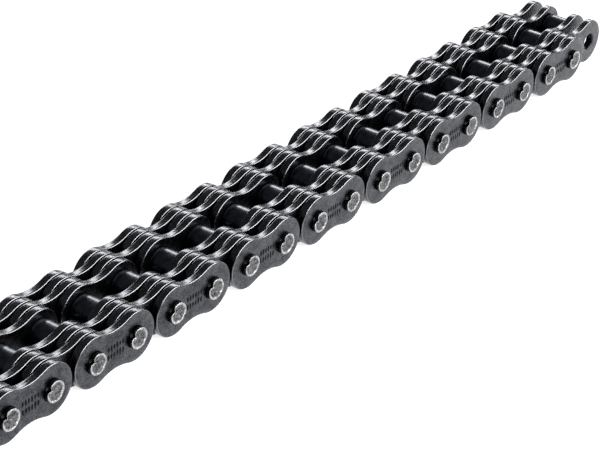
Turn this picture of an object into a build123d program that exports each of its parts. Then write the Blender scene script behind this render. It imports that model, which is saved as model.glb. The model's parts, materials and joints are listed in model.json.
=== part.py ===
# Strand of single-row motorcycle drive chain with doubled side plates.
# The strand lies straight along X, its pins run along Y, and its plates stand on Z = 0.
# Origin: centre of the strand's footprint, on the surface that it lies on.
from build123d import *
import os

os.makedirs("parts", exist_ok=True)

# Strand: it starts and ends with an inner link, so each end has an open bore
inner_link_count = 10
pitch = 15.875

# Side plates, with a waist between two round heads
plate_height = 14.9
waist_depth = 1.55
plate_thickness = 2.5
plate_bevel = 0.3
plate_gap = 0.4

# Width between the two inner plates beside the roller
inner_width = 7.94

# Pins, with both ends spread over the outermost plates
pin_diameter = 5.4
pin_head_spread = 0.45
pin_head_height = 1.3
pin_head_bevel = 0.25
stake_dent_radius = 0.9
stake_dent_depth = 0.8
stake_angle = -43.0

# Bushings, pressed into the two inner plates beside the roller
bushing_wall = 0.8
pin_clearance = 0.05

# Rollers, free on the bushings
roller_diameter = 10.16
roller_bore_clearance = 0.08
roller_side_clearance = 0.15
roller_bevel = 0.3

# Sizes that follow
outer_link_count = inner_link_count - 1
head_radius = plate_height / 2
half_waist = head_radius - waist_depth
waist_radius = ((pitch / 2) ** 2 + half_waist ** 2 - head_radius ** 2) / (2 * waist_depth)
tangent_share = head_radius / (head_radius + waist_radius)
tangent_x = pitch / 2 * (1 - tangent_share)
tangent_z = (half_waist + waist_radius) * tangent_share
layer_step = plate_thickness + plate_gap
pin_head_diameter = pin_diameter + 2 * pin_head_spread
running_bore = pin_diameter + 2 * pin_clearance
bushing_diameter = running_bore + 2 * bushing_wall
roller_bore = bushing_diameter + 2 * roller_bore_clearance
roller_length = inner_width - 2 * roller_side_clearance
plates_per_side = 4
half_width = inner_width / 2 + plate_thickness + (plates_per_side - 1) * layer_step
pin_height = plate_height / 2
first_pin_x = -(2 * inner_link_count - 1) * pitch / 2


def plane_at(x, y):
    """Plane across the pins: its X is along the strand, its Y is up, and it faces -Y."""
    return Plane(origin=(x, y, pin_height), x_dir=(1, 0, 0), z_dir=(0, -1, 0))


def layer_face(layer):
    """Y of the -Y face of one of the eight plate layers, counted from 0 at the -Y side."""
    if layer < plates_per_side:
        return -half_width + layer * layer_step
    return half_width - plate_thickness - (2 * plates_per_side - 1 - layer) * layer_step


def link_plates(centre_x, layers_and_bores):
    """Plates of one link: a figure of eight with two bores in each listed layer."""
    with BuildPart() as plates:
        for layer, bore in layers_and_bores:
            with BuildSketch(plane_at(centre_x, layer_face(layer))):
                with BuildLine():
                    ThreePointArc((-tangent_x, tangent_z), (0, half_waist), (tangent_x, tangent_z))
                    ThreePointArc((tangent_x, tangent_z), (pitch / 2 + head_radius, 0), (tangent_x, -tangent_z))
                    ThreePointArc((tangent_x, -tangent_z), (0, -half_waist), (-tangent_x, -tangent_z))
                    ThreePointArc((-tangent_x, -tangent_z), (-pitch / 2 - head_radius, 0), (-tangent_x, tangent_z))
                make_face()
                with Locations((-pitch / 2, 0), (pitch / 2, 0)):
                    Circle(bore / 2, mode=Mode.SUBTRACT)
            extrude(amount=-plate_thickness)
        rims = ShapeList()
        for side in plates.faces().filter_by(Axis.Y):
            rims += side.outer_wire().edges()
        chamfer(rims, plate_bevel)
    return plates.part


def tube(x, length, outer, bore, bevel):
    """Tube about one pin position, centred across the strand."""
    with BuildPart() as barrel:
        with BuildSketch(plane_at(x, -length / 2)):
            Circle(outer / 2)
            Circle(bore / 2, mode=Mode.SUBTRACT)
        extrude(amount=-length)
        if bevel > 0:
            rims = ShapeList()
            for end in barrel.faces().filter_by(Axis.Y):
                rims += end.outer_wire().edges()
            chamfer(rims, bevel)
    return barrel.part


def link_bushings(centre_x):
    """The two bushings of an inner link, flush with the plates that they are pressed into."""
    with BuildPart() as bushings:
        for x in (centre_x - pitch / 2, centre_x + pitch / 2):
            with BuildSketch(plane_at(x, -inner_width / 2 - plate_thickness)):
                Circle(bushing_diameter / 2)
                Circle(running_bore / 2, mode=Mode.SUBTRACT)
            extrude(amount=-(inner_width + 2 * plate_thickness))
    return bushings.part


def link_pins(centre_x):
    """The two pins of an outer link, each end staked with two dents."""
    with BuildPart() as pins:
        for x in (centre_x - pitch / 2, centre_x + pitch / 2):
            with BuildSketch(plane_at(x, -half_width)):
                Circle(pin_diameter / 2)
            extrude(amount=-2 * half_width)
            for y in (-half_width - pin_head_height, half_width):
                with BuildSketch(plane_at(x, y)):
                    Circle(pin_head_diameter / 2)
                    reach = pin_head_diameter / 2 + stake_dent_radius - stake_dent_depth
                    with PolarLocations(reach, 2, start_angle=stake_angle):
                        Circle(stake_dent_radius, mode=Mode.SUBTRACT)
                extrude(amount=-pin_head_height)
        rims = ShapeList()
        for y in (-half_width - pin_head_height, half_width + pin_head_height):
            for end in pins.faces().filter_by(Axis.Y).filter_by_position(Axis.Y, y - 0.01, y + 0.01):
                rims += end.outer_wire().edges()
        chamfer(rims, pin_head_bevel)
    return pins.part


def save(part, name):
    """Label one finished sub-part and write its STEP file."""
    part.label = name
    export_step(part, f"parts/{name}.step")


# The outer link holds the first and third plate from each side, the inner link the others
outer_plate_layers = [(0, pin_diameter), (2, pin_diameter), (5, pin_diameter), (7, pin_diameter)]
inner_plate_layers = [(1, running_bore), (3, bushing_diameter), (4, bushing_diameter), (6, running_bore)]

for k in range(inner_link_count):
    centre_x = first_pin_x + pitch / 2 + 2 * k * pitch
    save(link_plates(centre_x, inner_plate_layers), f"inner_plates_{k + 1:02d}")
    save(link_bushings(centre_x), f"bushings_{k + 1:02d}")
    for side in (0, 1):
        roller = tube(centre_x + (side - 0.5) * pitch, roller_length, roller_diameter, roller_bore, roller_bevel)
        save(roller, f"roller_{2 * k + side + 1:02d}")

for k in range(outer_link_count):
    centre_x = first_pin_x + 3 * pitch / 2 + 2 * k * pitch
    save(link_plates(centre_x, outer_plate_layers), f"outer_plates_{k + 1:02d}")
    save(link_pins(centre_x), f"pins_{k + 1:02d}")

strand_length = (2 * inner_link_count - 1) * pitch + plate_height
print(f"strand {strand_length:.1f} x {2 * (half_width + pin_head_height):.1f} x {plate_height:.1f} mm")
print(f"end bore radius {running_bore / 2:.3f}, length {2 * (half_width - layer_step):.2f} mm")
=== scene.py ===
import json
from math import cos, pi, radians, sin
import bpy
from mathutils import Matrix, Vector


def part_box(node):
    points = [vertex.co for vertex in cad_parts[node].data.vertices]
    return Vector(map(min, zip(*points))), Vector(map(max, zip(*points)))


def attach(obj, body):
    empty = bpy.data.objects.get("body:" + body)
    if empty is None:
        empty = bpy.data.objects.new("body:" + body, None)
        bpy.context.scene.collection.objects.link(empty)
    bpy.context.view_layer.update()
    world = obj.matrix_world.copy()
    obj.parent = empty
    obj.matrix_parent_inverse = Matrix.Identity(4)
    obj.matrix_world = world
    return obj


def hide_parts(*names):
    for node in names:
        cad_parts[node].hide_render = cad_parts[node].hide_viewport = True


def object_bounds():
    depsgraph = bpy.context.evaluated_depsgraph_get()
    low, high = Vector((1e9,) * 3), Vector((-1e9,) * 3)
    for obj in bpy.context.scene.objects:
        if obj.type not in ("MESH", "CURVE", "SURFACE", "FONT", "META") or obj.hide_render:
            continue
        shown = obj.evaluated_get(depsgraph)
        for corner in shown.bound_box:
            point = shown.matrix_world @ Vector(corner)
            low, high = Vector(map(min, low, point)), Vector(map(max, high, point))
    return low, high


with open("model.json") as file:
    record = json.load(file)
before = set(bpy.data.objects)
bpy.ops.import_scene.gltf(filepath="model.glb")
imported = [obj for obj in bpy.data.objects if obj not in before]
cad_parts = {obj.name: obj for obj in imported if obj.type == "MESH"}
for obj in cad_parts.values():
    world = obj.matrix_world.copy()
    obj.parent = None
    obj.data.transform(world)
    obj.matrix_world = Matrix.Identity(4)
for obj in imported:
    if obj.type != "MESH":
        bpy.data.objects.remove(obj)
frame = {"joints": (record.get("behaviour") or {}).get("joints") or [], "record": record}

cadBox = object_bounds()
bodies = frame["record"]["behaviour"]["bodies"]
joints = {joint["name"]: joint for joint in frame["joints"]}
firstPin = Vector(joints["roller_01_spin"]["pos_m"])  # open bore at the -X end
pitch = joints["roller_02_spin"]["pos_m"][0] - firstPin.x
pinHeight = firstPin.z


class Term:  # one value in a node tree, so that sums can be written as sums
    def __init__(self, board, socket):
        self.board = board
        self.socket = socket

    def calc(self, operation, *others):
        return self.board.add("ShaderNodeMath", {"operation": operation}, dict(enumerate((self, *others))))

    def also(self, name):
        return Term(self.board, self.socket.node.outputs[name])

    def __add__(self, other):
        return self.calc("ADD", other)

    def __radd__(self, other):
        return self.board.calc("ADD", other, self)

    def __sub__(self, other):
        return self.calc("SUBTRACT", other)

    def __rsub__(self, other):
        return self.board.calc("SUBTRACT", other, self)

    def __mul__(self, other):
        return self.calc("MULTIPLY", other)

    def __rmul__(self, other):
        return self.board.calc("MULTIPLY", other, self)

    def __truediv__(self, other):
        return self.calc("DIVIDE", other)

    def __rtruediv__(self, other):
        return self.board.calc("DIVIDE", other, self)

    def __pow__(self, other):
        return self.calc("POWER", other)

    def __neg__(self):
        return self.board.calc("SUBTRACT", 0.0, self)

    def __gt__(self, other):
        return self.calc("GREATER_THAN", other)

    def __lt__(self, other):
        return self.calc("LESS_THAN", other)

    def __abs__(self):
        return self.calc("ABSOLUTE")

    def share(self, low, high):  # 0 below low, 1 above high, straight between
        return self.board.add("ShaderNodeMapRange", {}, {"Value": self, "From Min": low, "From Max": high})


class Board:  # a node tree under construction
    def __init__(self, tree):
        self.tree = tree

    def calc(self, operation, *values):
        return self.add("ShaderNodeMath", {"operation": operation}, dict(enumerate(values)))

    def add(self, kind, settings=None, sockets=None, out=0):
        node = self.tree.nodes.new(kind)
        for name, value in (settings or {}).items():
            setattr(node, name, value)
        for name, value in (sockets or {}).items():
            target = node.inputs[name]
            for item in value if isinstance(value, list) else [value]:
                if isinstance(item, Term):
                    self.tree.links.new(item.socket, target)
                else:
                    target.default_value = item
        return Term(self, node.outputs[out]) if len(node.outputs) else node


# Shapes are trees of geometry nodes, in metres, lying across the pins (Y) about a pin or link centre.
def newShapeTree(name, inputs):
    tree = bpy.data.node_groups.new(name, "GeometryNodeTree")
    tree.interface.new_socket(name="Places", in_out="INPUT", socket_type="NodeSocketGeometry")
    for label, kind in inputs.items():
        tree.interface.new_socket(name=label, in_out="INPUT", socket_type="NodeSocket" + kind)
    tree.interface.new_socket(name="Pieces", in_out="OUTPUT", socket_type="NodeSocketGeometry")
    board = Board(tree)
    places = board.add("NodeGroupInput")
    return board, {label: places.also(label) for label in ["Places", *inputs]}


def unitGrid(board, across, along):  # a sheet whose two directions run from -1 to 1
    sizes = {"Size X": 2.0, "Size Y": 2.0, "Vertices X": across, "Vertices Y": along}
    sheet = board.add("GeometryNodeMeshGrid", {}, sizes)
    spot = board.add("ShaderNodeSeparateXYZ", {}, {0: board.add("GeometryNodeInputPosition")})
    return sheet, spot, spot.also("Y")


def keepValue(board, mesh, name, value, domain="POINT"):  # a named value on the mesh, for the finish to read
    kept = {"Geometry": mesh, "Name": name, "Value": value}
    return board.add("GeometryNodeStoreNamedAttribute", {"data_type": "FLOAT", "domain": domain}, kept)


def placePoints(board, mesh, x, y, z):
    spot = board.add("ShaderNodeCombineXYZ", {}, {"X": x, "Y": y, "Z": z})
    return board.add("GeometryNodeSetPosition", {}, {"Geometry": mesh, "Position": spot})


weld = {"distance": 2e-6, "level": 1e-6}  # nearer points are joined, and faces at x = 0 are dropped


def closeMesh(board, mesh):  # seams joined, faces outward
    merged = board.add("GeometryNodeMergeByDistance", {}, {"Geometry": mesh, "Distance": weld["distance"]})
    return board.add("GeometryNodeFlipFaces", {}, {"Mesh": merged})


def standPieces(board, places, piece, selection=True, turn=None):
    wanted = {"Points": places, "Selection": selection, "Instance": piece}
    if turn:
        wanted["Rotation"] = turn
    return board.add("GeometryNodeInstanceOnPoints", {}, wanted)


def endTree(board, pieces, material):
    solid = board.add("GeometryNodeRealizeInstances", {}, {"Geometry": pieces})
    smooth = board.add("GeometryNodeSetShadeSmooth", {}, {"Geometry": solid, "Shade Smooth": True})
    dressed = board.add("GeometryNodeSetMaterial", {}, {"Geometry": smooth, "Material": material})
    board.add("NodeGroupOutput", {}, {"Pieces": dressed})
    return board.tree


def growPieces(name, tree, points, values, marks=None):  # one plain mesh from one shape tree
    seeds = bpy.data.meshes.new(name + "Places")
    seeds.from_pydata([tuple(point) for point in points], [], [])
    if marks:
        layer = seeds.attributes.new("kind", "FLOAT", "POINT")
        layer.data.foreach_set("value", marks)
    source = bpy.data.objects.new(name + "Source", seeds)
    bpy.context.collection.objects.link(source)
    modifier = source.modifiers.new("shape", "NODES")
    modifier.node_group = tree
    for item in tree.interface.items_tree:
        if item.in_out == "INPUT" and item.name in values:
            modifier[item.identifier] = values[item.name]
    graph = bpy.context.evaluated_depsgraph_get()
    mesh = bpy.data.meshes.new_from_object(source.evaluated_get(graph))
    mesh.name = name
    bpy.data.objects.remove(source)
    piece = bpy.data.objects.new(name, mesh)
    bpy.context.collection.objects.link(piece)
    return piece


sidePlate = {
    "thickness": 0.0025,
    "gap": 0.0004,
    "waistDepth": 0.00155,
    "bevel": 0.00034,
    "boreBevel": 0.00022,
    "crown": 0.00005,        # fall of the face towards its rim
    "headSteps": 16,
    "waistSteps": 8,
    "middleSteps": 3,
    "wallRings": 2,
    "bevelRings": 3,
    "faceRings": 5,
    "boreRings": 2,
}
plateKinds = {"plain": 0.0, "snug": 1.0, "punchedNear": 2.0, "punchedFar": 3.0}


def plateShape(board, size, boreRadius):  # one half, from head to middle, and its turned copy
    steps = sum(sidePlate[part] for part in ("headSteps", "waistSteps", "middleSteps"))
    rings = sum(sidePlate[part] for part in ("wallRings", "bevelRings", "faceRings", "boreRings"))
    sheet, around, through = unitGrid(board, 2 * steps + 1, 2 * rings + 1)
    halfPitch = size["Pitch"] * 0.5
    headRadius = size["Head Radius"]
    waist = headRadius - size["Waist Depth"]
    squares = halfPitch * halfPitch + waist * waist - headRadius * headRadius
    waistRadius = squares / (2.0 * size["Waist Depth"])
    waistCentre = waist + waistRadius
    tangent = waistCentre.calc("ARCTAN2", halfPitch)  # slope of the line from head centre to waist centre

    turn = abs(around)  # along the outline: head, waist, then down the middle line
    headEnd = sidePlate["headSteps"] / steps
    waistEnd = headEnd + sidePlate["waistSteps"] / steps
    headShare = turn.share(0.0, headEnd)
    waistShare = turn.share(headEnd, waistEnd)
    middleShare = turn.share(waistEnd, 1.0)

    depth = abs(through)  # from the rim's middle over the bevel and the face into the bore
    wallEnd = sidePlate["wallRings"] / rings
    bevelEnd = wallEnd + sidePlate["bevelRings"] / rings
    faceEnd = bevelEnd + sidePlate["faceRings"] / rings
    chamferEnd = faceEnd + 1 / rings
    wallShare = depth.share(0.0, wallEnd)
    bevelShare = depth.share(wallEnd, bevelEnd)
    faceShare = depth.share(bevelEnd, faceEnd)
    chamferShare = depth.share(faceEnd, chamferEnd)
    boreShare = depth.share(chamferEnd, 1.0)

    bend = bevelShare * (pi / 2)
    inset = size["Bevel"] * (1.0 - bend.calc("COSINE"))
    headAngle = headShare * (pi - tangent)
    headX = halfPitch + (headRadius - inset) * headAngle.calc("COSINE")
    headZ = (headRadius - inset) * headAngle.calc("SINE")
    waistAngle = (pi / 2 - tangent) * (1.0 - waistShare)  # measured from straight down
    waistX = (waistRadius + inset) * waistAngle.calc("SINE")
    waistZ = waistCentre - (waistRadius + inset) * waistAngle.calc("COSINE")
    onWaist = turn > headEnd + 0.001
    rimX = headX + (waistX - headX) * onWaist
    rimZ = (headZ + (waistZ - headZ) * onWaist) * (1.0 - middleShare)

    boreAngle = rimZ.calc("ARCTAN2", rimX - halfPitch)
    bore = boreRadius + sidePlate["boreBevel"] * (1.0 - chamferShare)
    inward = faceShare * faceShare * (3.0 - 2.0 * faceShare)
    x = rimX + (halfPitch + bore * boreAngle.calc("COSINE") - rimX) * inward
    z = (rimZ + (bore * boreAngle.calc("SINE") - rimZ) * inward) * around.calc("SIGN")
    level = size["Thickness"] * 0.5 - size["Bevel"] - sidePlate["crown"]
    face = level * wallShare + size["Bevel"] * bend.calc("SINE")
    crown = sidePlate["crown"] * (1.0 - (1.0 - faceShare) ** 3.0 * (1.0 - middleShare.share(0.0, 0.4)))
    fall = sidePlate["boreBevel"] * chamferShare
    y = (face + crown - fall) * (1.0 - boreShare) * through.calc("SIGN")

    # edge is 1 at the face's outline and falls to 0 halfway to the bore; the finish uses it for a painted
    # highlight along the face's rim
    edge = (1.0 - faceShare.share(0.0, 0.5)) * (1.0 - middleShare.share(0.0, 0.2))
    half = keepValue(board, sheet, "rim", 1.0 - abs(2.0 * bevelShare - 1.0))
    half = keepValue(board, half, "edge", edge)
    half = keepValue(board, half, "wall", 1.0 - bevelShare)
    half = placePoints(board, half, x, y, z)
    spot = board.add("ShaderNodeSeparateXYZ", {}, {0: board.add("GeometryNodeInputPosition")})
    membrane = {"Geometry": half, "Selection": abs(spot) < weld["level"]}  # where the two halves meet
    half = board.add("GeometryNodeDeleteGeometry", {"domain": "FACE"}, membrane)
    turned = board.add("GeometryNodeTransform", {}, {"Geometry": half, "Rotation": (0.0, pi, 0.0)})
    whole = board.add("GeometryNodeJoinGeometry", {}, {0: [half, turned]})
    return closeMesh(board, whole)


punchMarks = {  # two rows of plain ticks at the middle of the outermost plates
    "columns": 6,
    "step": 0.00112,
    "rise": 0.0024,
    "width": 0.00040,        # half sizes of one tick
    "shortest": 0.0007,
    "longest": 0.00135,
    "depth": 0.00042,
    "proud": 0.00005,        # how far the cutter's middle stands off the face
    "crease": 0.8,           # angle from which an edge is kept sharp
    "ballSegments": 12,
    "ballRings": 6,
    "seed": 11,
}


def punchPlate(board, plate, size):
    marks = punchMarks
    grid = board.add("GeometryNodeMeshGrid", {}, {
        "Size X": marks["step"] * (marks["columns"] - 1), "Size Y": marks["rise"],
        "Vertices X": marks["columns"], "Vertices Y": 2,
    })
    spot = board.add("ShaderNodeSeparateXYZ", {}, {0: board.add("GeometryNodeInputPosition")})
    face = -(size["Thickness"] * 0.5) - marks["proud"]
    spots = placePoints(board, grid, spot, face, spot.also("Y"))
    facets = {"Segments": marks["ballSegments"], "Rings": marks["ballRings"], "Radius": 1.0}
    ball = board.add("GeometryNodeMeshUVSphere", {}, facets)
    local = board.add("ShaderNodeSeparateXYZ", {}, {0: board.add("GeometryNodeInputPosition")})
    # punched runs from about 0.3 at the tick's rim to 1 at its floor; the finish paints the deeper part dark
    # as painted shade
    tick = keepValue(board, ball, "punched", 0.2 + 0.8 * local.also("Y"), "FACE")
    smallest = (marks["width"] * 0.9, marks["depth"], marks["shortest"])
    largest = (marks["width"] * 1.1, marks["depth"], marks["longest"])
    extent = {"Min": smallest, "Max": largest, "Seed": marks["seed"]}
    scale = board.add("FunctionNodeRandomValue", {"data_type": "FLOAT_VECTOR"}, extent)
    stamped = {"Points": spots, "Instance": tick, "Scale": scale}
    ticks = board.add("GeometryNodeInstanceOnPoints", {}, stamped)
    ticks = board.add("GeometryNodeRealizeInstances", {}, {"Geometry": ticks})
    way = {"operation": "DIFFERENCE", "solver": "EXACT"}
    cut = board.add("GeometryNodeMeshBoolean", way, {"Mesh 1": plate, "Mesh 2": ticks})
    sharp = board.add("GeometryNodeInputMeshEdgeAngle") > marks["crease"]
    creased = {"Geometry": cut, "Selection": sharp, "Shade Smooth": False}
    return board.add("GeometryNodeSetShadeSmooth", {"domain": "EDGE"}, creased)


def makePlateTree():
    inputs = {
        "Pitch": "Float", "Head Radius": "Float", "Waist Depth": "Float", "Thickness": "Float",
        "Bevel": "Float", "Free Bore": "Float", "Snug Bore": "Float", "Finish": "Material",
    }
    board, size = newShapeTree("sidePlates", inputs)
    kind = board.add("GeometryNodeInputNamedAttribute", {"data_type": "FLOAT"}, {"Name": "kind"})
    plain = plateShape(board, size, size["Free Bore"])
    punched = punchPlate(board, plain, size)
    snug = plateShape(board, size, size["Snug Bore"])
    shapes = (
        (plain, "plain", 0.0),
        (snug, "snug", 0.0),
        (punched, "punchedNear", 0.0),
        (punched, "punchedFar", pi),
    )
    stood = []
    for shape, name, turn in shapes:
        chosen = abs(kind - plateKinds[name]) < 0.5
        stood.append(standPieces(board, size["Places"], shape, chosen, (0.0, 0.0, turn)))
    return endTree(board, board.add("GeometryNodeJoinGeometry", {}, {0: stood}), size["Finish"])


barrel = {
    "steps": 64,
    "wallRings": 2,
    "edgeRings": 3,
    "faceRings": 2,
    "boreRings": 2,
}


def makeBarrelTree():  # a tube with rounded outer edges, for rollers and bushings
    inputs = {
        "Outer Radius": "Float", "Bore Radius": "Float", "Length": "Float", "Edge": "Float",
        "Finish": "Material",
    }
    board, size = newShapeTree("barrels", inputs)
    rings = sum(barrel[part] for part in ("wallRings", "edgeRings", "faceRings", "boreRings"))
    sheet, around, through = unitGrid(board, barrel["steps"] + 1, 2 * rings + 1)
    depth = abs(through)
    wallEnd = barrel["wallRings"] / rings
    edgeEnd = wallEnd + barrel["edgeRings"] / rings
    faceEnd = edgeEnd + barrel["faceRings"] / rings
    bend = depth.share(wallEnd, edgeEnd) * (pi / 2)
    faceShare = depth.share(edgeEnd, faceEnd)
    rim = size["Outer Radius"] - size["Edge"] * (1.0 - bend.calc("COSINE"))
    radius = rim + (size["Bore Radius"] - rim) * faceShare
    wall = (size["Length"] * 0.5 - size["Edge"]) * depth.share(0.0, wallEnd)
    level = wall + size["Edge"] * bend.calc("SINE")
    y = level * (1.0 - depth.share(faceEnd, 1.0)) * through.calc("SIGN")
    angle = around * pi
    tube = keepValue(board, sheet, "rim", depth.share(wallEnd, edgeEnd) * (1.0 - faceShare))
    tube = placePoints(board, tube, radius * angle.calc("COSINE"), y, radius * angle.calc("SINE"))
    return endTree(board, standPieces(board, size["Places"], closeMesh(board, tube)), size["Finish"])


pinEnd = {
    "spread": 0.00042,       # how far the staked end stands over the shank
    "height": 0.0013,        # how far it stands out of the outermost plate
    "foot": 0.00025,
    "edge": 0.00022,
    "dish": 0.00014,
    "dentAngle": 142.0,      # degrees from +X towards +Z, seen from -Y
    "dentDepth": 0.00115,
    "dentSharpness": 30.0,
    "secondDent": 0.12,      # second dent, as a share of the first
    "grooveDepth": 0.0007,
    "beaten": 0.0003,        # waviness of the end face
    "sway": 5.0,             # degrees by which the dents differ from pin to pin
    "beatenScale": 620.0,    # per metre
    "steps": 96,
    "rings": 20,
    "shankEnd": 0.1,         # where each part ends, as a share from the pin's middle to its tip
    "footEnd": 0.2,
    "sideEnd": 0.3,
    "edgeEnd": 0.5,
    "seed": 7,
}


def makePinTree():
    inputs = {
        "Shank Radius": "Float", "Shank Length": "Float", "Spread": "Float", "Height": "Float",
        "Dent Depth": "Float", "Seed": "Int", "Finish": "Material",
    }
    board, size = newShapeTree("stakedPins", inputs)
    shankEnd, footEnd = pinEnd["shankEnd"], pinEnd["footEnd"]
    sideEnd, edgeEnd = pinEnd["sideEnd"], pinEnd["edgeEnd"]
    sheet, around, through = unitGrid(board, pinEnd["steps"] + 1, 2 * pinEnd["rings"] + 1)
    depth = abs(through)
    angle = around * pi
    dentAngle = radians(pinEnd["dentAngle"])
    first = (angle - dentAngle).calc("COSINE").calc("MAXIMUM", 0.0) ** pinEnd["dentSharpness"]
    second = (angle - dentAngle - pi).calc("COSINE").calc("MAXIMUM", 0.0) ** (2 * pinEnd["dentSharpness"])
    dents = first + second * pinEnd["secondDent"]
    wave = {"W": angle.calc("COSINE"), "Scale": 3.0}
    uneven = board.add("ShaderNodeTexNoise", {"noise_dimensions": "1D"}, wave)
    spread = size["Spread"] * (0.75 + 0.5 * uneven)
    endRadius = size["Shank Radius"] + spread - size["Dent Depth"] * dents
    footShare = depth.share(shankEnd, footEnd)
    sideShare = depth.share(footEnd, sideEnd)
    bend = depth.share(sideEnd, edgeEnd) * (pi / 2)
    faceShare = depth.share(edgeEnd, 1.0)
    rim = endRadius - pinEnd["edge"] * (1.0 - bend.calc("COSINE"))
    flare = size["Shank Radius"] + (rim - size["Shank Radius"]) * footShare
    radius = flare * (1.0 - faceShare)
    rise = pinEnd["foot"] * footShare + (size["Height"] - pinEnd["foot"] - pinEnd["edge"]) * sideShare
    rise = rise + pinEnd["edge"] * bend.calc("SINE")
    hollow = faceShare * (2.0 - faceShare)
    ditch = faceShare.share(0.0, 0.15) * (1.0 - faceShare.share(0.15, 0.6))
    groove = pinEnd["grooveDepth"] * dents * ditch
    x = radius * angle.calc("COSINE")
    z = radius * angle.calc("SINE")
    flat = board.add("ShaderNodeCombineXYZ", {}, {"X": x, "Y": size["Seed"], "Z": z})
    ripple = {"Vector": flat, "Scale": pinEnd["beatenScale"], "Detail": 2.0}
    beaten = board.add("ShaderNodeTexNoise", {}, ripple).share(0.35, 0.65)
    groove = groove + pinEnd["beaten"] * beaten * faceShare.share(0.0, 0.2)
    y = size["Shank Length"] * 0.5 * depth.share(0.0, shankEnd) + rise - pinEnd["dish"] * hollow - groove
    rimShare = depth.share(sideEnd, edgeEnd) * (1.0 - faceShare.share(0.0, 0.25))
    pin = keepValue(board, sheet, "rim", rimShare)
    pin = keepValue(board, pin, "face", faceShare > 0.001)
    pin = placePoints(board, pin, x, y * through.calc("SIGN"), z)
    sway = radians(pinEnd["sway"])
    lean = {"Min": (0.0, -sway, 0.0), "Max": (0.0, sway, 0.0), "Seed": size["Seed"]}
    turn = board.add("FunctionNodeRandomValue", {"data_type": "FLOAT_VECTOR"}, lean)
    pins = standPieces(board, size["Places"], closeMesh(board, pin), True, turn)
    return endTree(board, pins, size["Finish"])


def newFinish(name):
    material = bpy.data.materials.new(name)
    material.use_nodes = True
    material.node_tree.nodes.clear()
    board = Board(material.node_tree)
    return material, board, board.add("ShaderNodeTexCoord", {}, {}, "Object")


def noiseAt(board, place, scale, detail=2.0, stretch=(1.0, 1.0, 1.0), harsh=0.5):
    placed = board.add("ShaderNodeMapping", {}, {"Vector": place, "Scale": stretch})
    sockets = {"Vector": placed, "Scale": scale, "Detail": detail, "Roughness": harsh}
    return board.add("ShaderNodeTexNoise", {}, sockets)


def mixColour(board, amount, low, high):
    return board.add("ShaderNodeMix", {"data_type": "RGBA"}, {0: amount, 6: low, 7: high}, 2)


def readValue(board, name):
    return board.add("ShaderNodeAttribute", {"attribute_name": name}, {}, "Fac")


def bumpFrom(board, height, distance):
    return board.add("ShaderNodeBump", {}, {"Height": height, "Distance": distance, "Strength": 1.0})


def finishMetal(board, colour, roughness, normal, settings=None):
    sockets = {"Base Color": colour, "Roughness": roughness, "Metallic": 1.0, "Normal": normal}
    shader = board.add("ShaderNodeBsdfPrincipled", {}, {**sockets, **(settings or {})})
    board.add("ShaderNodeOutputMaterial", {}, {"Surface": shader})


blackSteel = {
    "dark": (0.010, 0.0108, 0.0135, 1.0),
    "light": (0.084, 0.087, 0.097, 1.0),
    "worn": (0.23, 0.23, 0.24, 1.0),
    # light steel of the punched ticks: bare steel at the cut, and a painted highlight on the tick walls
    "burrAndSheen": (0.45, 0.45, 0.46, 1.0),
    "blotch": 420.0,        # noise scales are per metre
    "grain": 2100.0,
    "streak": 2600.0,
    "relief": 0.00003,
    "roughness": 0.27,
    "roughWall": -0.07,
}


def makeSideSteel():
    material, board, place = newFinish("blackSideSteel")
    rim = readValue(board, "rim")
    wall = readValue(board, "wall")
    blotch = noiseAt(board, place, blackSteel["blotch"], 4.0)
    edge = readValue(board, "edge")
    grain = noiseAt(board, place, blackSteel["grain"], 6.0, (1.0, 1.0, 1.0), 0.75)
    streaks = noiseAt(board, place, blackSteel["streak"], 3.0, (1.0, 0.2, 1.0))
    # edge * 0.2 lightens the face towards its outline: a painted highlight standing in for light caught
    # where the face rolls over towards its rim
    tone = (blotch - 0.5) * 1.5 + 0.44 + (grain - 0.5) * 3.4 + edge * 0.2
    colour = mixColour(board, tone.share(0.0, 1.0), blackSteel["dark"], blackSteel["light"])
    wear = rim.share(0.3, 0.85) * (blotch + 0.4 * grain).share(0.1, 0.55)
    colour = mixColour(board, wear, colour, blackSteel["worn"])
    height = ((grain - 0.5) * (1.0 - wall * 0.7) + (streaks - 0.5) * wall) * (1.0 - rim * 0.7) + blotch * 0.8
    normal = bumpFrom(board, height, blackSteel["relief"])
    roughness = blackSteel["roughness"] + (grain - 0.5) * 0.2 + (blotch - 0.5) * 0.16 - wear * 0.06
    roughness = roughness + wall * blackSteel["roughWall"]
    punched = readValue(board, "punched")
    # the punched ticks take the light steel: bare steel at the cut, and a painted highlight on their walls
    colour = mixColour(board, punched > 0.05, colour, blackSteel["burrAndSheen"])
    # painted shade: the deeper part of each tick is darkened to the dark steel colour, standing in for shade
    # in the pocket
    colour = mixColour(board, punched.share(0.1, 0.4), colour, blackSteel["dark"])
    finishMetal(board, colour, roughness, normal)
    return material


rollerSteel = {
    "dark": (0.018, 0.022, 0.030, 1.0),
    "light": (0.050, 0.057, 0.072, 1.0),
    "smear": 600.0,
    "lay": 2600.0,
    "relief": 0.000006,
    "roughness": 0.27,
    "film": 0.4,            # most of the oil film
    "filmRoughness": 0.15,
}


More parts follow.
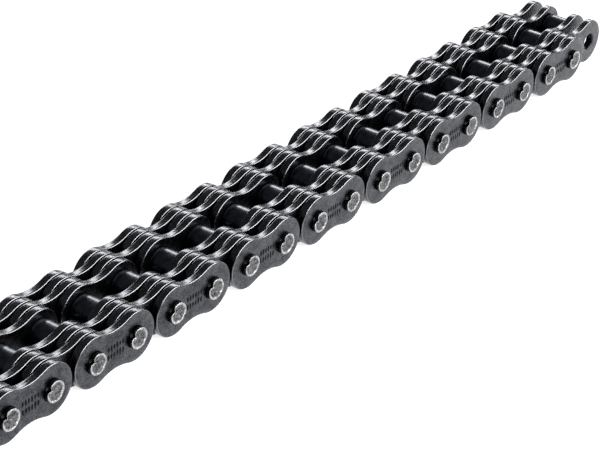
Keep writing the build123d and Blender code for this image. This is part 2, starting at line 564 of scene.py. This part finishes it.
def makeRollerSteel():
    material, board, place = newFinish("rollerSteel")
    rim = readValue(board, "rim")
    smear = noiseAt(board, place, rollerSteel["smear"], 4.0)
    lay = noiseAt(board, place, rollerSteel["lay"], 3.0, (0.3, 2.0, 0.3))
    colour = mixColour(board, (smear + rim * 0.5).share(0.3, 1.0), rollerSteel["dark"], rollerSteel["light"])
    normal = bumpFrom(board, lay + smear, rollerSteel["relief"])
    roughness = rollerSteel["roughness"] + (smear - 0.5) * 0.16 + rim * 0.1
    oil = smear.share(0.2, 0.7) * rollerSteel["film"]
    film = {"Coat Weight": oil, "Coat Roughness": rollerSteel["filmRoughness"]}
    finishMetal(board, colour, roughness, normal, film)
    return material


pinSteel = {
    "shank": (0.018, 0.018, 0.02, 1.0),
    "face": (0.14, 0.14, 0.145, 1.0),
    "pit": (0.035, 0.035, 0.037, 1.0),
    "bright": (0.46, 0.46, 0.47, 1.0),
    "coarse": 1100.0,
    "fine": 3000.0,
    "relief": 0.00012,
    "roughness": 0.3,
}


def makePinSteel():
    material, board, place = newFinish("pinSteel")
    rim = readValue(board, "rim")
    face = readValue(board, "face")
    coarse = noiseAt(board, place, pinSteel["coarse"], 3.0)
    fine = noiseAt(board, place, pinSteel["fine"], 3.0)
    beaten = mixColour(board, (coarse + 0.5 * fine).share(0.62, 0.84), pinSteel["pit"], pinSteel["face"])
    colour = mixColour(board, face, pinSteel["shank"], beaten)
    burnish = rim.share(0.2, 0.7) * (coarse.share(0.3, 0.6) * 0.6 + 0.4)
    colour = mixColour(board, burnish, colour, pinSteel["bright"])
    normal = bumpFrom(board, coarse * 3.0 + fine, pinSteel["relief"])
    roughness = pinSteel["roughness"] + (coarse - 0.5) * 0.3 + (fine - 0.5) * 0.12
    finishMetal(board, colour, roughness, normal)
    return material


bushingSteel = {
    "dark": (0.09, 0.09, 0.095, 1.0),
    "light": (0.2, 0.2, 0.21, 1.0),
    "smear": 700.0,
    "lay": 3000.0,
    "relief": 0.000006,
    "roughness": 0.3,
}


def makeBushingSteel():
    material, board, place = newFinish("bushingSteel")
    smear = noiseAt(board, place, bushingSteel["smear"], 3.0)
    lay = noiseAt(board, place, bushingSteel["lay"], 2.0, (0.3, 2.0, 0.3))
    colour = mixColour(board, smear.share(0.3, 0.8), bushingSteel["dark"], bushingSteel["light"])
    roughness = bushingSteel["roughness"] + (smear - 0.5) * 0.2
    finishMetal(board, colour, roughness, bumpFrom(board, lay, bushingSteel["relief"]))
    return material


floorPaint = {
    "pale": (0.60, 0.60, 0.60, 1.0),
    "paler": (0.62, 0.62, 0.62, 1.0),
    "cloud": 3.0,
    "roughness": 0.8,
    "glow": 1.3,
}


def makeFloorPaint():
    material, board, place = newFinish("floorPaint")
    cloud = noiseAt(board, place, floorPaint["cloud"])
    colour = mixColour(board, cloud, floorPaint["pale"], floorPaint["paler"])
    paint = {"Base Color": colour, "Roughness": floorPaint["roughness"]}
    glow = {"Emission Color": colour, "Emission Strength": floorPaint["glow"]}
    shader = board.add("ShaderNodeBsdfPrincipled", {}, {**paint, **glow})
    board.add("ShaderNodeOutputMaterial", {}, {"Surface": shader})
    return material


sideFinish = makeSideSteel()
rollerFinish = makeRollerSteel()
pinFinish = makePinSteel()
bushingFinish = makeBushingSteel()
print("finishes:", len(bpy.data.materials))

plateTree = makePlateTree()
barrelTree = makeBarrelTree()
pinTree = makePinTree()
print("shape trees:", len(bpy.data.node_groups))

linkFit = {
    "innerWidth": 0.00794,     # between the two plates beside a roller
    "shankRadius": 0.0027,
    "runningBore": 0.00275,    # radii of the bores, as of the rest
    "bushingRadius": 0.00355,
    "bushingEdge": 0.00015,
    "rollerBore": 0.00363,
    "rollerEdge": 0.0005,
    "layers": 8,               # plates across a pin
}
layerStep = sidePlate["thickness"] + sidePlate["gap"]
halfWidth = linkFit["innerWidth"] / 2 + sidePlate["thickness"] + 3 * layerStep
plateLow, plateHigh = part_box("outer_plates_01")
headRadius = (plateHigh.z - plateLow.z) / 2


def layerMiddle(layer):  # Y of the middle of one plate layer, counted from the near side
    low = -halfWidth + layer * layerStep
    high = halfWidth - (linkFit["layers"] - 1 - layer) * layerStep - sidePlate["thickness"]
    return (low if layer < linkFit["layers"] / 2 else high) + sidePlate["thickness"] / 2


def linkCentre(node):
    low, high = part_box(node)
    return (low.x + high.x) / 2


def bindPiece(piece, body, node):
    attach(piece, body)
    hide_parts(node)


def makePlates(body, node, layers, label):
    centre = linkCentre(node)
    points = [(centre, layerMiddle(layer), pinHeight) for layer in layers]
    marks = [plateKinds[kind] for kind in layers.values()]
    values = {
        "Pitch": pitch, "Head Radius": headRadius, "Waist Depth": sidePlate["waistDepth"],
        "Thickness": sidePlate["thickness"], "Bevel": sidePlate["bevel"],
        "Free Bore": linkFit["shankRadius" if body.startswith("outer") else "runningBore"],
        "Snug Bore": linkFit["bushingRadius"], "Finish": sideFinish,
    }
    bindPiece(growPieces(label, plateTree, points, values, marks), body, node)


def makePins(body, node, number):
    centre = linkCentre(node)
    points = [(centre + side * pitch / 2, 0.0, pinHeight) for side in (-1, 1)]
    values = {
        "Shank Radius": linkFit["shankRadius"], "Shank Length": 2 * halfWidth, "Spread": pinEnd["spread"],
        "Height": pinEnd["height"], "Dent Depth": pinEnd["dentDepth"], "Seed": pinEnd["seed"] + int(number),
        "Finish": pinFinish,
    }
    bindPiece(growPieces("stakedPins" + number, pinTree, points, values), body, node)


def makeBushings(body, node, number):
    low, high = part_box(node)
    points = [(linkCentre(node) + side * pitch / 2, 0.0, pinHeight) for side in (-1, 1)]
    values = {
        "Outer Radius": linkFit["bushingRadius"], "Bore Radius": linkFit["runningBore"],
        "Length": high.y - low.y, "Edge": linkFit["bushingEdge"], "Finish": bushingFinish,
    }
    bindPiece(growPieces("innerLinkBushings" + number, barrelTree, points, values), body, node)


def makeRoller(body, node, number):
    low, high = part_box(node)
    points = [(linkCentre(node), 0.0, pinHeight)]
    values = {
        "Outer Radius": (high.x - low.x) / 2, "Bore Radius": linkFit["rollerBore"],
        "Length": high.y - low.y, "Edge": linkFit["rollerEdge"], "Finish": rollerFinish,
    }
    bindPiece(growPieces("linkRoller" + number, barrelTree, points, values), body, node)


innerLayers = {1: "plain", 3: "snug", 4: "snug", 6: "plain"}
outerLayers = {0: "punchedNear", 2: "plain", 5: "plain", 7: "punchedFar"}
for body, nodes in bodies.items():
    kind, number = body.rsplit("_", 1)
    if kind == "inner_link":
        makePlates(body, nodes[0], innerLayers, "innerLinkPlates" + number)
        makeBushings(body, nodes[1], number)
    elif kind == "outer_link":
        makePlates(body, nodes[0], outerLayers, "outerLinkPlates" + number)
        makePins(body, nodes[1], number)
    else:
        makeRoller(body, nodes[0], number)
print("links and rollers ready:", len(bodies))

studio = {
    "floorSize": 6.0,
    "worldGrey": 0.16,
    "lampDistance": 2.2,
    "backSoftbox": {"turn": 53.0, "rise": 23.5, "width": 2.4, "height": 0.54, "power": 37.0},
    "frontSoftbox": {"turn": 160.0, "rise": 30.0, "width": 3.5, "height": 1.1, "power": 128.0},
}


def makeFloor():
    mesh = bpy.data.meshes.new("studioFloor")
    reach = studio["floorSize"] / 2
    corners = [(-reach, -reach, 0.0), (reach, -reach, 0.0), (reach, reach, 0.0), (-reach, reach, 0.0)]
    mesh.from_pydata(corners, [], [(0, 1, 2, 3)])
    mesh.materials.append(makeFloorPaint())
    floor = bpy.data.objects.new("studioFloor", mesh)
    bpy.context.collection.objects.link(floor)


def towards(turn, rise):  # turn in degrees from +Y towards +X, rise in degrees above the floor
    level = cos(radians(rise))
    return Vector((sin(radians(turn)) * level, cos(radians(turn)) * level, sin(radians(rise))))


def makeSoftbox(name):
    box = studio[name]
    data = bpy.data.lights.new(name, "AREA")
    data.shape = "RECTANGLE"
    data.size = box["width"]
    data.size_y = box["height"]
    data.energy = box["power"]
    lamp = bpy.data.objects.new(name, data)
    bpy.context.collection.objects.link(lamp)
    aim = towards(box["turn"], box["rise"])
    lamp.location = aim * studio["lampDistance"]
    lamp.rotation_euler = aim.to_track_quat("Z", "Y").to_euler()


def makeWorld():
    world = bpy.data.worlds.new("studioAir")
    world.use_nodes = True
    board = Board(world.node_tree)
    world.node_tree.nodes.clear()
    grey = studio["worldGrey"]
    air = board.add("ShaderNodeBackground", {}, {"Color": (grey, grey, grey, 1.0), "Strength": 1.0})
    board.add("ShaderNodeOutputWorld", {}, {"Surface": air})
    bpy.context.scene.world = world


viewpoint = {
    "turn": 54.82,          # degrees from +Y towards +X
    "fall": 30.13,
    "roll": 3.14,
    "distance": 0.5954,
    "lens": 126.94,
    "sensor": 36.0,
    "nearest": 0.01,
    "aimShare": -0.1053,    # along the half strand, on the near outermost plates
    "aimRise": 0.00249,     # over the pins
}


def makeCamera():
    turn, roll = radians(viewpoint["turn"]), radians(viewpoint["roll"])
    ahead = towards(viewpoint["turn"], -viewpoint["fall"])
    right = Vector((cos(turn), -sin(turn), 0.0))
    up = right.cross(ahead)
    level = (cos(roll) * right + sin(roll) * up, -sin(roll) * right + cos(roll) * up)
    aim = Vector((viewpoint["aimShare"] * cadBox[1][0], -halfWidth, pinHeight + viewpoint["aimRise"]))
    data = bpy.data.cameras.new("camera")
    data.lens = viewpoint["lens"]
    data.sensor_width = viewpoint["sensor"]
    data.clip_start = viewpoint["nearest"]
    camera = bpy.data.objects.new("camera", data)
    bpy.context.collection.objects.link(camera)
    axes = Matrix((level[0], level[1], -ahead)).transposed()
    camera.matrix_world = Matrix.Translation(aim - ahead * viewpoint["distance"]) @ axes.to_4x4()
    bpy.context.scene.camera = camera


makeFloor()
makeWorld()
makeSoftbox("backSoftbox")
makeSoftbox("frontSoftbox")
makeCamera()
bpy.context.scene.view_settings.view_transform = "Standard"
print("studio ready")
